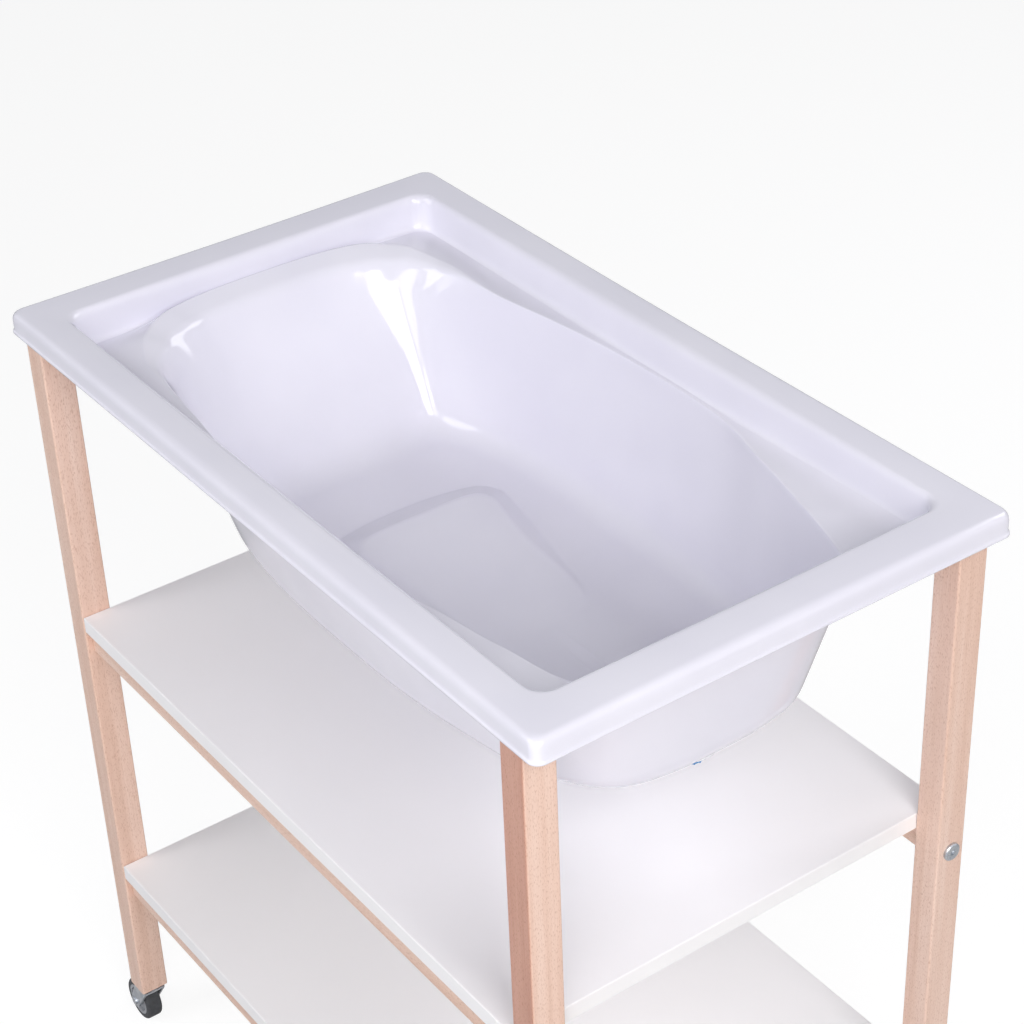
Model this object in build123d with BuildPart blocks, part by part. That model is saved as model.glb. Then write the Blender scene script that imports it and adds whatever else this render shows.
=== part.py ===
from build123d import *
import math
import os

# Changing table with a bathtub: a beech frame with two white shelves, and a bathtub that hangs by its rim.
# Millimetres. +X runs from the head end to the foot end, +Z is up, and the origin lies on the floor below
# the middle of the table.

# Overall sizes
rim_top = 872.0
frame_length = 760.0
frame_width = 452.0

# Posts
post_x = 28.0
post_y = 30.0
post_edge = 2.0

# Shelves
board_thick = 17.0
board_edge = 0.8
board_end_gap = 0.4
board_setback = 0.5
space_below_drain = 123.0
leg_below_rail = 139.0

# Rails
rail_thick = 16.0
rail_setback = 7.0
rail_edge = 1.5
shelf_rail_high = 26.0
top_rail_high = 32.0
end_rail_setback = 3.0

# Bathtub rim: the skirt hangs over the frame, and its lip is the widest line of the whole table
tub_skin = 2.4
skirt_gap_x = 17.6
skirt_gap_y = 0.6
lip_proud = 2.0
lip_high = 3.5
lip_round = 0.8
skirt_high = 21.0
skirt_corner = 9.0
rim_round = 5.0

# Bathtub well: the stepped part between the rim and the bowl, which hangs inside the top rails
well_gap_x = 2.6
well_gap_y = 6.6
well_depth = 34.0
well_draft = 8.0
well_corner = 20.0
ledge_min = 1.0

# Bathtub bowl
bowl_depth = 175.0
bowl_head_slope = 121.5
bowl_foot_slope = 21.5
bowl_side_slope = 36.0
bowl_level_shares = (0.0, 0.55, 0.86, 1.0)
bowl_inset_shares = (0.0, 0.52, 0.84, 1.12)
bowl_top_shares = (
    (-1, 0), (-0.995, 0.3), (-0.975, 0.55), (-0.91, 0.745), (-0.78, 0.855), (-0.55, 0.89), (-0.27, 0.965),
    (0, 1), (0.3, 0.99), (0.52, 0.9), (0.71, 0.82), (0.88, 0.735), (0.965, 0.64), (0.995, 0.42), (1, 0),
)
bowl_floor_shares = (
    (-1, 0), (-0.99, 0.34), (-0.95, 0.6), (-0.84, 0.83), (-0.65, 0.95), (-0.42, 0.99), (-0.2, 1),
    (0.05, 0.99), (0.27, 0.965), (0.47, 0.925), (0.68, 0.855), (0.86, 0.72), (0.96, 0.53), (0.995, 0.28),
    (1, 0),
)

# Ridge round the head of the bowl: it stands on the ledge and runs down into it towards the foot
ridge_high = 17.0
ridge_long = 60.0
ridge_wide = 6.0
ridge_step = 0.5

# Raised wedge on the bowl's floor
wedge_from_head = 87.5
wedge_from_foot = 213.5
wedge_head_inset = 55.0
wedge_foot_inset = 101.0
wedge_head_high = 18.0
wedge_foot_high = 2.0
wedge_round = 1.5

# Connector bolts and barrel nuts
bolt_radius = 3.0
bolt_hole_clear = 0.25
bolt_below_rail = 13.0
bolt_reach = 30.0
bolt_tail = 4.0
bolt_head_radius = 8.5
bolt_head_thick = 3.0
bolt_head_edge = 0.9
bolt_socket_across = 5.0
bolt_socket_deep = 1.8
barrel_radius = 5.0
barrel_clear = 0.1
barrel_short = 3.0

# Wooden dowels
dowel_radius = 3.0
dowel_clear = 0.05
dowel_depth = 11.0
dowel_end_gap = 1.0
dowel_edge = 0.6
dowel_below_rail = 5.0
end_dowel_spacing = 18.0

# Shelf screws
screw_radius = 1.8
screw_clear = 0.2
screw_head_radius = 3.8
screw_head_thick = 2.4
screw_bite = 11.0
screw_point = 3.0
screw_from_end = 82.0
screw_count = 3

# Drain
drain_from_foot = 39.0
drain_bore = 10.0
drain_wall = 2.5
drain_clear = 0.15
drain_flange_radius = 20.0
drain_flange_thick = 2.5
drain_flange_edge = 1.0
drain_reach = 16.5
strainer_thick = 2.0
strainer_bar = 2.2
strainer_hole_radius = 1.8
strainer_cells = 6
strainer_drop = 2.0
seal_radius = 20.5
seal_thick = 2.0
nut_radius = 24.0
nut_thick = 5.0
nut_lobes = 8
nut_lobe_radius = 3.0
cap_wall = 2.0
cap_high = 8.5
cap_floor = 2.5
cap_rib_radius = 0.9
cap_ribs = 18
stopper_radius = 13.5
stopper_cap_thick = 3.0
stopper_plug_deep = 4.0
stopper_clear = 0.3
stopper_knob_radius = 5.0
stopper_knob_high = 7.0
stopper_neck_radius = 2.6
stopper_edge = 1.0

# Casters
caster_trail = 17.0
wheel_radius = 24.0
wheel_width = 17.0
wheel_top_gap = 2.8
tyre_thick = 6.5
tyre_crown = 3.0
hub_recess = 3.0
hub_boss_radius = 7.0
hub_rim = 3.0
axle_radius = 3.0
axle_clear = 0.05
axle_head_radius = 4.6
axle_head_thick = 1.4
wheel_side_gap = 1.2
fork_sheet = 2.5
fork_crown_radius = 15.0
fork_eye_radius = 7.5
fork_tail_radius = 5.0
stem_radius = 4.0
stem_clear = 0.05
stem_deep = 24.0
stem_point = 1.0
stem_end_gap = 1.0
stem_flange_radius = 11.0
stem_flange_thick = 2.6
stem_play = 0.25
stem_rivet_radius = 6.5
stem_rivet_thick = 1.6
pedal_pin_radius = 1.6
pedal_pin_angle = 47.7
pedal_wheel_gap = 2.3
pedal_barrel_radius = 3.4
pedal_sheet = 2.4
pedal_long = 20.0
pedal_drop = 5.0
pedal_side_gap = 0.4
pedal_edge = 0.8
pedal_nose_gap = 0.6
pedal_nose_angle = 252.0

# Overrun of a cut past the face that it starts from
cut_over = 1.0

# Derived places
half_length = frame_length / 2
half_width = frame_width / 2
post_top = rim_top - tub_skin
post_centre_x = half_length - post_x / 2
post_centre_y = half_width - post_y / 2
bay_length = frame_length - 2 * post_x
bay_width = frame_width - 2 * post_y
rail_centre_y = half_width - rail_setback - rail_thick / 2
end_rail_centre_x = half_length - end_rail_setback - rail_thick / 2
rim_base = rim_top - skirt_high
skirt_length = frame_length + 2 * (skirt_gap_x + tub_skin)
skirt_width = frame_width + 2 * (skirt_gap_y + tub_skin)
lip_length = skirt_length + 2 * lip_proud
lip_width = skirt_width + 2 * lip_proud
well_length = frame_length - 2 * (end_rail_setback + rail_thick + well_gap_x + tub_skin)
well_width = frame_width - 2 * (rail_setback + rail_thick + well_gap_y + tub_skin)
ledge_level = rim_top - well_depth
floor_level = rim_top - bowl_depth
bowl_half_length = well_length / 2 - well_draft - ledge_min
bowl_half_width = well_width / 2 - well_draft - ledge_min
bowl_floor_head = bowl_head_slope - bowl_half_length
bowl_floor_foot = bowl_half_length - bowl_foot_slope
bowl_floor_shift = (bowl_floor_head + bowl_floor_foot) / 2
bowl_floor_half_length = (bowl_floor_foot - bowl_floor_head) / 2
bowl_floor_half_width = bowl_half_width - bowl_side_slope
wedge_head_x = bowl_floor_head + wedge_from_head
wedge_foot_x = bowl_floor_foot - wedge_from_foot
wedge_head_width = 2 * (bowl_floor_half_width - wedge_head_inset)
wedge_foot_width = 2 * (bowl_floor_half_width - wedge_foot_inset)
drain_x = bowl_floor_foot - drain_from_foot
plates_high = stem_flange_thick + fork_sheet + stem_rivet_thick + 2 * stem_play
caster_height = 2 * wheel_radius + wheel_top_gap + plates_high
middle_shelf_top = floor_level - drain_reach - cap_floor - space_below_drain
lower_shelf_top = caster_height + leg_below_rail + shelf_rail_high + board_thick

post_corners = {
    "head_front": (-1, -1),
    "head_back": (-1, 1),
    "foot_front": (1, -1),
    "foot_back": (1, 1),
}
braked_casters = ("foot_front", "head_back")
shelf_tops = {"middle": middle_shelf_top, "lower": lower_shelf_top}
sides = {"front": -1, "back": 1}
ends = {"head": -1, "foot": 1}

# Height and bolt level of the three rails on each long side
rail_levels = {
    "top": (post_top, top_rail_high),
    "middle": (middle_shelf_top - board_thick, shelf_rail_high),
    "lower": (lower_shelf_top - board_thick, shelf_rail_high),
}
bolt_levels = [top - bolt_below_rail for top, high in rail_levels.values()]
dowel_levels = [top - dowel_below_rail for top, high in rail_levels.values()]


def save(part, name):
    """Label a finished piece and write it."""
    part.label = name
    export_step(part, f"parts/{name}.step")


# Posts


def end_dowel_levels():
    """The two dowels that join an end rail to a post, one above the other."""
    middle = post_top - top_rail_high / 2
    return [middle - end_dowel_spacing / 2, middle + end_dowel_spacing / 2]


def make_post(name, sx, sy):
    """A square post with its bolt, dowel and caster holes."""
    centre = (sx * post_centre_x, sy * post_centre_y)
    outer = Plane(origin=(sx * half_length, sy * rail_centre_y, 0), x_dir=(0, sx, 0), z_dir=(sx, 0, 0))
    inner = Plane(origin=(sx * (half_length - post_x), sy * rail_centre_y, 0), x_dir=(0, sx, 0),
                  z_dir=(sx, 0, 0))
    inside = Plane(origin=(sx * end_rail_centre_x, sy * (half_width - post_y), 0), x_dir=(-sy, 0, 0),
                   z_dir=(0, sy, 0))
    with BuildPart() as post:
        with BuildSketch(Plane.XY.offset(caster_height)):
            with Locations(centre):
                RectangleRounded(post_x, post_y, post_edge)
        extrude(amount=post_top - caster_height)
        with BuildSketch(outer):
            with Locations(*[(0, level) for level in bolt_levels]):
                Circle(bolt_radius + bolt_hole_clear)
        extrude(amount=-post_x, mode=Mode.SUBTRACT)
        with BuildSketch(inner):
            with Locations(*[(0, level) for level in dowel_levels]):
                Circle(dowel_radius + dowel_clear)
        extrude(amount=dowel_depth + dowel_end_gap, mode=Mode.SUBTRACT)
        with BuildSketch(inside):
            with Locations(*[(0, level) for level in end_dowel_levels()]):
                Circle(dowel_radius + dowel_clear)
        extrude(amount=dowel_depth + dowel_end_gap, mode=Mode.SUBTRACT)
        with BuildSketch(Plane.XY.offset(caster_height)):
            with Locations(centre):
                Circle(stem_radius + stem_clear)
        extrude(amount=stem_deep + stem_end_gap, mode=Mode.SUBTRACT)
    save(post.part, name + "_post")


# Rails


def make_long_rail(name, sy, top, high, screwed):
    """A rail along a long side, with its end holes, nut holes and screw holes."""
    middle = top - high / 2
    with BuildPart() as rail:
        with BuildSketch(Plane.YZ.offset(-bay_length / 2)):
            with Locations((sy * rail_centre_y, middle)):
                RectangleRounded(rail_thick, high, rail_edge)
        extrude(amount=bay_length)
        for sx in ends.values():
            with BuildSketch(Plane.YZ.offset(sx * bay_length / 2)):
                with Locations((sy * rail_centre_y, top - bolt_below_rail)):
                    Circle(bolt_radius + bolt_hole_clear)
            extrude(amount=-sx * (bolt_reach + bolt_tail + cut_over), mode=Mode.SUBTRACT)
            with BuildSketch(Plane.YZ.offset(sx * bay_length / 2)):
                with Locations((sy * rail_centre_y, top - dowel_below_rail)):
                    Circle(dowel_radius + dowel_clear)
            extrude(amount=-sx * (dowel_depth + dowel_end_gap), mode=Mode.SUBTRACT)
        nut_face = Plane.XZ.offset(-sy * (rail_centre_y - rail_thick / 2))
        with BuildSketch(nut_face):
            for sx in ends.values():
                with Locations((sx * (bay_length / 2 - bolt_reach), top - bolt_below_rail)):
                    Circle(barrel_radius + barrel_clear)
        extrude(amount=-sy * (rail_thick - barrel_short), mode=Mode.SUBTRACT)
        if screwed:
            with BuildSketch(Plane.XY.offset(top)):
                with Locations(*screw_places(sy)):
                    Circle(screw_radius + screw_clear)
            extrude(amount=-high, mode=Mode.SUBTRACT)
            for place in screw_places(sy):
                with Locations((*place, top - high)):
                    Cone(screw_head_radius + screw_clear, screw_radius + screw_clear, screw_head_thick,
                         align=(Align.CENTER, Align.CENTER, Align.MIN), mode=Mode.SUBTRACT)
    save(rail.part, name)


def make_end_rail(name, sx):
    """A short rail under the rim at the head or the foot, held by two dowels at each end."""
    with BuildPart() as rail:
        with BuildSketch(Plane.XZ.offset(-bay_width / 2)):
            with Locations((sx * end_rail_centre_x, post_top - top_rail_high / 2)):
                RectangleRounded(rail_thick, top_rail_high, rail_edge)
        extrude(amount=bay_width)
        for sy in sides.values():
            with BuildSketch(Plane.XZ.offset(-sy * bay_width / 2)):
                with Locations(*[(sx * end_rail_centre_x, level) for level in end_dowel_levels()]):
                    Circle(dowel_radius + dowel_clear)
            extrude(amount=sy * (dowel_depth + dowel_end_gap), mode=Mode.SUBTRACT)
    save(rail.part, name)


# Shelves


def screw_places(sy):
    """X and Y of the screws along one shelf rail."""
    first = screw_from_end - bay_length / 2
    spacing = -2 * first / (screw_count - 1)
    return [(first + i * spacing, sy * rail_centre_y) for i in range(screw_count)]


def make_shelf(name, top):
    """A board that fills the bay between the posts and rests on its two rails."""
    with BuildPart() as shelf:
        with BuildSketch(Plane.XY.offset(top - board_thick)):
            Rectangle(bay_length - 2 * board_end_gap, frame_width - 2 * board_setback)
        extrude(amount=board_thick)
        chamfer(shelf.edges(), board_edge)
        with BuildSketch(Plane.XY.offset(top - board_thick)):
            for sy in sides.values():
                with Locations(*screw_places(sy)):
                    Circle(screw_radius)
        extrude(amount=screw_bite, mode=Mode.SUBTRACT)
    save(shelf.part, name + "_shelf")


# Fasteners


def make_bolts():
    """Connector bolts: a flat head with a hexagon socket on the post, and a shank into the rail."""
    with BuildPart() as bolts:
        for sx, sy in post_corners.values():
            for level in bolt_levels:
                face = Plane(origin=(sx * half_length, sy * rail_centre_y, level), x_dir=(0, sx, 0),
                             z_dir=(sx, 0, 0))
                with BuildSketch(face):
                    Circle(bolt_head_radius)
                extrude(amount=bolt_head_thick)
                with BuildSketch(face):
                    Circle(bolt_radius)
                extrude(amount=-(post_x + bolt_reach + bolt_tail))
                with BuildSketch(face.offset(bolt_head_thick)):
                    RegularPolygon(bolt_socket_across / 2, 6, major_radius=False)
                extrude(amount=-bolt_socket_deep, mode=Mode.SUBTRACT)
        by_place = bolts.faces().group_by(Axis.X)
        heads = by_place[0] + by_place[-1]
        chamfer([face.outer_wire().edges() for face in heads], bolt_head_edge)
    save(bolts.part, "connector_bolts")


def make_barrel_nuts():
    """Cross nuts inside the rails, one for each connector bolt."""
    with BuildPart() as nuts:
        for sx, sy in post_corners.values():
            for level in bolt_levels:
                face = Plane.XZ.offset(-sy * (rail_centre_y - rail_thick / 2))
                place = (sx * (bay_length / 2 - bolt_reach), level)
                with BuildSketch(face):
                    with Locations(place):
                        Circle(barrel_radius)
                extrude(amount=-sy * (rail_thick - barrel_short))
                with BuildSketch(Plane.YZ.offset(sx * (bay_length / 2 - bolt_reach))):
                    with Locations((sy * rail_centre_y, level)):
                        Circle(bolt_radius)
                extrude(amount=2 * barrel_radius, both=True, mode=Mode.SUBTRACT)
    save(nuts.part, "barrel_nuts")


def make_dowels():
    """Wooden dowels across every joint between a rail and a post."""
    length = 2 * dowel_depth
    with BuildPart() as dowels:
        for sx, sy in post_corners.values():
            with BuildSketch(Plane.YZ.offset(sx * bay_length / 2)):
                with Locations(*[(sy * rail_centre_y, level) for level in dowel_levels]):
                    Circle(dowel_radius)
            extrude(amount=length / 2, both=True)
            with BuildSketch(Plane.XZ.offset(-sy * bay_width / 2)):
                with Locations(*[(sx * end_rail_centre_x, level) for level in end_dowel_levels()]):
                    Circle(dowel_radius)
            extrude(amount=length / 2, both=True)
        chamfer(dowels.edges().filter_by(GeomType.CIRCLE), dowel_edge)
    save(dowels.part, "rail_dowels")


def make_screws():
    """Screws up through the shelf rails into the boards."""
    with BuildPart() as screws:
        for top in shelf_tops.values():
            joint = top - board_thick
            base = joint - shelf_rail_high
            for sy in sides.values():
                for x, y in screw_places(sy):
                    with BuildSketch(Plane(origin=(x, y, base), x_dir=(1, 0, 0), z_dir=(0, -1, 0))):
                        with BuildLine():
                            Polyline(
                                (0, 0), (screw_head_radius, 0), (screw_radius, screw_head_thick),
                                (screw_radius, shelf_rail_high + screw_bite - screw_point),
                                (0, shelf_rail_high + screw_bite), (0, 0),
                            )
                        make_face()
                    revolve(axis=Axis((x, y, base), (0, 0, 1)))
    save(screws.part, "shelf_screws")


# Bathtub


def bowl_outline(inset_share, grow):
    """Points of the bowl's outline, part of the way from its edge to its floor, grown by a wall."""
    edge_points = [((bowl_half_length + grow) * x, (bowl_half_width + grow) * y) for x, y in bowl_top_shares]
    floor_points = [
        (bowl_floor_shift + (bowl_floor_half_length + grow) * x, (bowl_floor_half_width + grow) * y)
        for x, y in bowl_floor_shares
    ]
    points = [
        (a[0] + (b[0] - a[0]) * inset_share, a[1] + (b[1] - a[1]) * inset_share)
        for a, b in zip(edge_points, floor_points)
    ]
    return points + [(x, -y) for x, y in reversed(points[1:-1])]


def bowl_section(level_share, inset_share, grow):
    """The bowl's section at a share of its depth below the ledge."""
    drop = (ledge_level - floor_level) * level_share
    with BuildSketch(Plane.XY.offset(ledge_level - grow - drop)) as section:
        with BuildLine():
            Spline(*bowl_outline(inset_share, grow), periodic=True)
        make_face()
    return section.sketch


def bowl_sections(grow):
    """All outlines of the bowl, from the ledge to the floor."""
    return [bowl_section(level, inset, grow) for level, inset in zip(bowl_level_shares, bowl_inset_shares)]


def well_sections(top, base, grow):
    """The well's two outlines, at the rim and at the ledge."""
    sections = []
    for level, draft in ((top, 0), (base, well_draft)):
        with BuildSketch(Plane.XY.offset(level)) as section:
            RectangleRounded(well_length + 2 * (grow - draft), well_width + 2 * (grow - draft),
                             well_corner + grow - draft / 2)
        sections.append(section.sketch)
    return sections


def wedge_sections(drop, shrink):
    """The raised wedge's head and foot faces."""
    sections = []
    shapes = ((wedge_head_x + shrink, wedge_head_width, wedge_head_high),
              (wedge_foot_x - shrink, wedge_foot_width, wedge_foot_high))
    for x, width, high in shapes:
        with BuildSketch(Plane.YZ.offset(x)) as section:
            with Locations((0, floor_level - cut_over - drop)):
                Rectangle(width - 2 * shrink, high + cut_over, align=(Align.CENTER, Align.MIN))
        sections.append(section.sketch)
    return sections


with BuildPart() as bowl_ridge:
    with BuildSketch(Plane.XY.offset(ledge_level - tub_skin / 2)):
        with BuildLine():
            Spline(*bowl_outline(0, ridge_step + ridge_wide), periodic=True)
        make_face()
        with BuildLine():
            Spline(*bowl_outline(0, ridge_step), periodic=True)
        make_face(mode=Mode.SUBTRACT)
    extrude(amount=ridge_high + tub_skin)
    slope = Plane(origin=(-bowl_half_length, 0, ledge_level + ridge_high), z_dir=(ridge_high, 0, ridge_long))
    split(bisect_by=slope, keep=Keep.BOTTOM)
    loft(sections=well_sections(rim_top, ledge_level - tub_skin / 2, tub_skin / 2), ruled=True,
         mode=Mode.INTERSECT)

with BuildPart() as bowl_wedge:
    loft(sections=wedge_sections(0, 0), ruled=True)
    fillet(bowl_wedge.faces().sort_by(Axis.Z)[-1].edges(), wedge_round)

with BuildPart() as bowl_space:
    loft(sections=bowl_sections(0))
    add(bowl_wedge.part, mode=Mode.SUBTRACT)

with BuildPart() as bathtub:
    with BuildSketch(Plane.XY.offset(rim_base)):
        RectangleRounded(skirt_length, skirt_width, skirt_corner)
    extrude(amount=skirt_high)
    fillet(bathtub.faces().sort_by(Axis.Z)[-1].edges(), rim_round)
    with BuildSketch(Plane.XY.offset(rim_base)):
        RectangleRounded(lip_length, lip_width, skirt_corner + lip_proud)
    extrude(amount=lip_high)
    with BuildSketch(Plane.XY.offset(rim_base)):
        RectangleRounded(skirt_length - 2 * tub_skin, skirt_width - 2 * tub_skin, skirt_corner - tub_skin)
    extrude(amount=skirt_high - tub_skin, mode=Mode.SUBTRACT)
    loft(sections=well_sections(rim_top - tub_skin, ledge_level - tub_skin, tub_skin), ruled=True)
    loft(sections=bowl_sections(tub_skin))
    loft(sections=well_sections(rim_top, ledge_level, 0), ruled=True, mode=Mode.SUBTRACT)
    add(bowl_space.part, mode=Mode.SUBTRACT)
    add(bowl_ridge.part)
    loft(sections=wedge_sections(tub_skin, tub_skin), ruled=True, mode=Mode.SUBTRACT)
    with BuildSketch(Plane.XY.offset(floor_level - tub_skin)):
        with Locations((drain_x, 0)):
            Circle(drain_bore + drain_wall + drain_clear)
    extrude(amount=tub_skin, mode=Mode.SUBTRACT)


# Drain

tube_radius = drain_bore + drain_wall
tube_foot = floor_level - drain_reach


def drain_plane(level):
    """A level plane on the drain's axis."""
    return Plane(origin=(drain_x, 0, level), x_dir=(1, 0, 0), z_dir=(0, 0, 1))


with BuildPart() as drain_body:
    with BuildSketch(drain_plane(floor_level)):
        Circle(drain_flange_radius)
    extrude(amount=drain_flange_thick)
    chamfer(drain_body.faces().sort_by(Axis.Z)[-1].edges(), drain_flange_edge)
    with BuildSketch(drain_plane(floor_level)):
        Circle(tube_radius)
    extrude(amount=-drain_reach)
    with BuildSketch(drain_plane(floor_level + drain_flange_thick)):
        Circle(drain_bore)
    extrude(amount=-drain_reach - drain_flange_thick, mode=Mode.SUBTRACT)
    with BuildSketch(drain_plane(floor_level - strainer_drop)):
        Circle(drain_bore + drain_wall / 2)
        Circle(strainer_hole_radius, mode=Mode.SUBTRACT)
        with PolarLocations((drain_bore + strainer_bar) / 2, strainer_cells):
            Circle(strainer_hole_radius, mode=Mode.SUBTRACT)
    extrude(amount=-strainer_thick)

with BuildPart() as drain_seal:
    with BuildSketch(drain_plane(floor_level - tub_skin)):
        Circle(seal_radius)
        Circle(tube_radius + drain_clear, mode=Mode.SUBTRACT)
    extrude(amount=-seal_thick)

nut_level = floor_level - tub_skin - seal_thick
with BuildPart() as drain_nut:
    with BuildSketch(drain_plane(nut_level)):
        Circle(nut_radius)
        with PolarLocations(nut_radius + nut_lobe_radius / 2, nut_lobes):
            Circle(nut_lobe_radius, mode=Mode.SUBTRACT)
        Circle(tube_radius + drain_clear, mode=Mode.SUBTRACT)
    extrude(amount=-nut_thick)

with BuildPart() as drain_cap:
    cap_radius = tube_radius + drain_clear + cap_wall
    with BuildSketch(drain_plane(tube_foot - cap_floor)):
        Circle(cap_radius)
        with PolarLocations(cap_radius, cap_ribs):
            Circle(cap_rib_radius)
    extrude(amount=cap_high)
    with BuildSketch(drain_plane(tube_foot)):
        Circle(tube_radius + drain_clear)
    extrude(amount=cap_high - cap_floor, mode=Mode.SUBTRACT)

with BuildPart() as drain_stopper:
    seat = floor_level + drain_flange_thick
    with BuildSketch(drain_plane(seat)):
        Circle(stopper_radius)
    extrude(amount=stopper_cap_thick)
    chamfer(drain_stopper.faces().sort_by(Axis.Z)[-1].edges(), stopper_edge)
    with BuildSketch(drain_plane(seat)):
        Circle(drain_bore - stopper_clear)
    extrude(amount=-stopper_plug_deep)
    with BuildSketch(drain_plane(seat + stopper_cap_thick)):
        Circle(stopper_neck_radius)
    extrude(amount=stopper_knob_high / 2)
    with BuildSketch(drain_plane(seat + stopper_cap_thick + stopper_knob_high / 2)):
        Circle(stopper_knob_radius)
    extrude(amount=stopper_knob_high / 2)
    chamfer(drain_stopper.faces().sort_by(Axis.Z)[-1].edges(), stopper_edge)


# Casters

plate_top = caster_height - stem_flange_thick - stem_play
plate_base = plate_top - fork_sheet
cheek_inside = wheel_width / 2 + wheel_side_gap
cheek_outside = cheek_inside + fork_sheet


def caster_level(sx, sy, level):
    """A level plane on a caster's stem, with x along its trail."""
    return Plane(origin=(sx * post_centre_x, sy * post_centre_y, level), x_dir=(sx, 0, 0), z_dir=(0, 0, 1))


def caster_side(sx, sy):
    """The upright plane through a caster's stem and wheel: x along its trail, y up from the floor."""
    return Plane(origin=(sx * post_centre_x, sy * post_centre_y, 0), x_dir=(sx, 0, 0), z_dir=(0, -sx, 0))


def pedal_pin_place():
    """The pedal's pin in the caster's upright plane, clear of the tyre."""
    away = wheel_radius + pedal_wheel_gap + pedal_barrel_radius
    angle = math.radians(pedal_pin_angle)
    return (caster_trail + away * math.cos(angle), wheel_radius + away * math.sin(angle))


def make_stems():
    """Four stems in the posts' ends, each with a flange under the post and a rivet under the fork."""
    with BuildPart() as stems:
        for sx, sy in post_corners.values():
            with BuildSketch(caster_level(sx, sy, caster_height)):
                Circle(stem_flange_radius)
            extrude(amount=-stem_flange_thick)
            with BuildSketch(caster_level(sx, sy, plate_base - stem_play)):
                Circle(stem_radius)
            extrude(amount=caster_height + stem_deep - plate_base + stem_play)
            with BuildSketch(caster_level(sx, sy, plate_base - stem_play)):
                Circle(stem_rivet_radius)
            extrude(amount=-stem_rivet_thick)
        tips = stems.faces().group_by(Axis.Z)[-1]
        chamfer(tips.edges(), stem_point)
    save(stems.part, "caster_stems")


def make_fork(name, sx, sy, braked):
    """A bent steel fork: a crown plate that turns on the stem, and two cheeks that hold the axle."""
    side = caster_side(sx, sy)
    wheel_place = (caster_trail, wheel_radius)
    pin_place = pedal_pin_place()
    with BuildPart() as fork:
        for turn in (-1, 1):
            with BuildSketch(side.offset(turn * cheek_inside)):
                with Locations(wheel_place):
                    Circle(fork_eye_radius)
                with Locations((0, plate_top)):
                    Rectangle(2 * fork_crown_radius - 2 * fork_tail_radius, fork_tail_radius,
                              align=(Align.CENTER, Align.MAX))
                if braked:
                    with Locations(pin_place):
                        Circle(fork_tail_radius)
                make_hull()
                with Locations(wheel_place):
                    Circle(axle_radius, mode=Mode.SUBTRACT)
            extrude(amount=turn * fork_sheet)
        with BuildSketch(caster_level(sx, sy, plate_base)):
            RectangleRounded(2 * fork_crown_radius - fork_tail_radius, 2 * cheek_outside,
                             fork_tail_radius / 2)
        extrude(amount=fork_sheet)
        with BuildSketch(caster_level(sx, sy, plate_base)):
            Circle(stem_radius + stem_clear)
        extrude(amount=fork_sheet, mode=Mode.SUBTRACT)
        if braked:
            with BuildSketch(side):
                with Locations(pin_place):
                    Circle(pedal_pin_radius)
            extrude(amount=cheek_outside, both=True)
    save(fork.part, name + "_caster_fork")


def make_axle(name, sx, sy):
    """A pin through the fork and the hub, with a flat head on each end."""
    side = caster_side(sx, sy)
    with BuildPart() as axle:
        with BuildSketch(side):
            with Locations((caster_trail, wheel_radius)):
                Circle(axle_radius)
        extrude(amount=cheek_outside, both=True)
        for turn in (-1, 1):
            with BuildSketch(side.offset(turn * cheek_outside)):
                with Locations((caster_trail, wheel_radius)):
                    Circle(axle_head_radius)
            extrude(amount=turn * axle_head_thick)
    save(axle.part, name + "_caster_axle")


def make_wheel(name, sx, sy):
    """A hub with a boss, a recessed web and a rim, and the tyre round it."""
    side = caster_side(sx, sy)
    hub_radius = wheel_radius - tyre_thick
    with BuildPart() as hub:
        with BuildSketch(side):
            with Locations((caster_trail, wheel_radius)):
                Circle(hub_radius)
                Circle(axle_radius + axle_clear, mode=Mode.SUBTRACT)
        extrude(amount=wheel_width / 2, both=True)
        for turn in (-1, 1):
            with BuildSketch(side.offset(turn * wheel_width / 2)):
                with Locations((caster_trail, wheel_radius)):
                    Circle(hub_radius - hub_rim)
                    Circle(hub_boss_radius, mode=Mode.SUBTRACT)
            extrude(amount=-turn * hub_recess, mode=Mode.SUBTRACT)
    save(hub.part, name + "_caster_hub")
    with BuildPart() as tyre:
        with BuildSketch(side):
            with Locations((caster_trail, wheel_radius)):
                Circle(wheel_radius)
        extrude(amount=wheel_width / 2, both=True)
        fillet(tyre.edges().filter_by(GeomType.CIRCLE), tyre_crown)
        with BuildSketch(side):
            with Locations((caster_trail, wheel_radius)):
                Circle(hub_radius)
        extrude(amount=wheel_width / 2, both=True, mode=Mode.SUBTRACT)
    save(tyre.part, name + "_caster_tyre")


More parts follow.
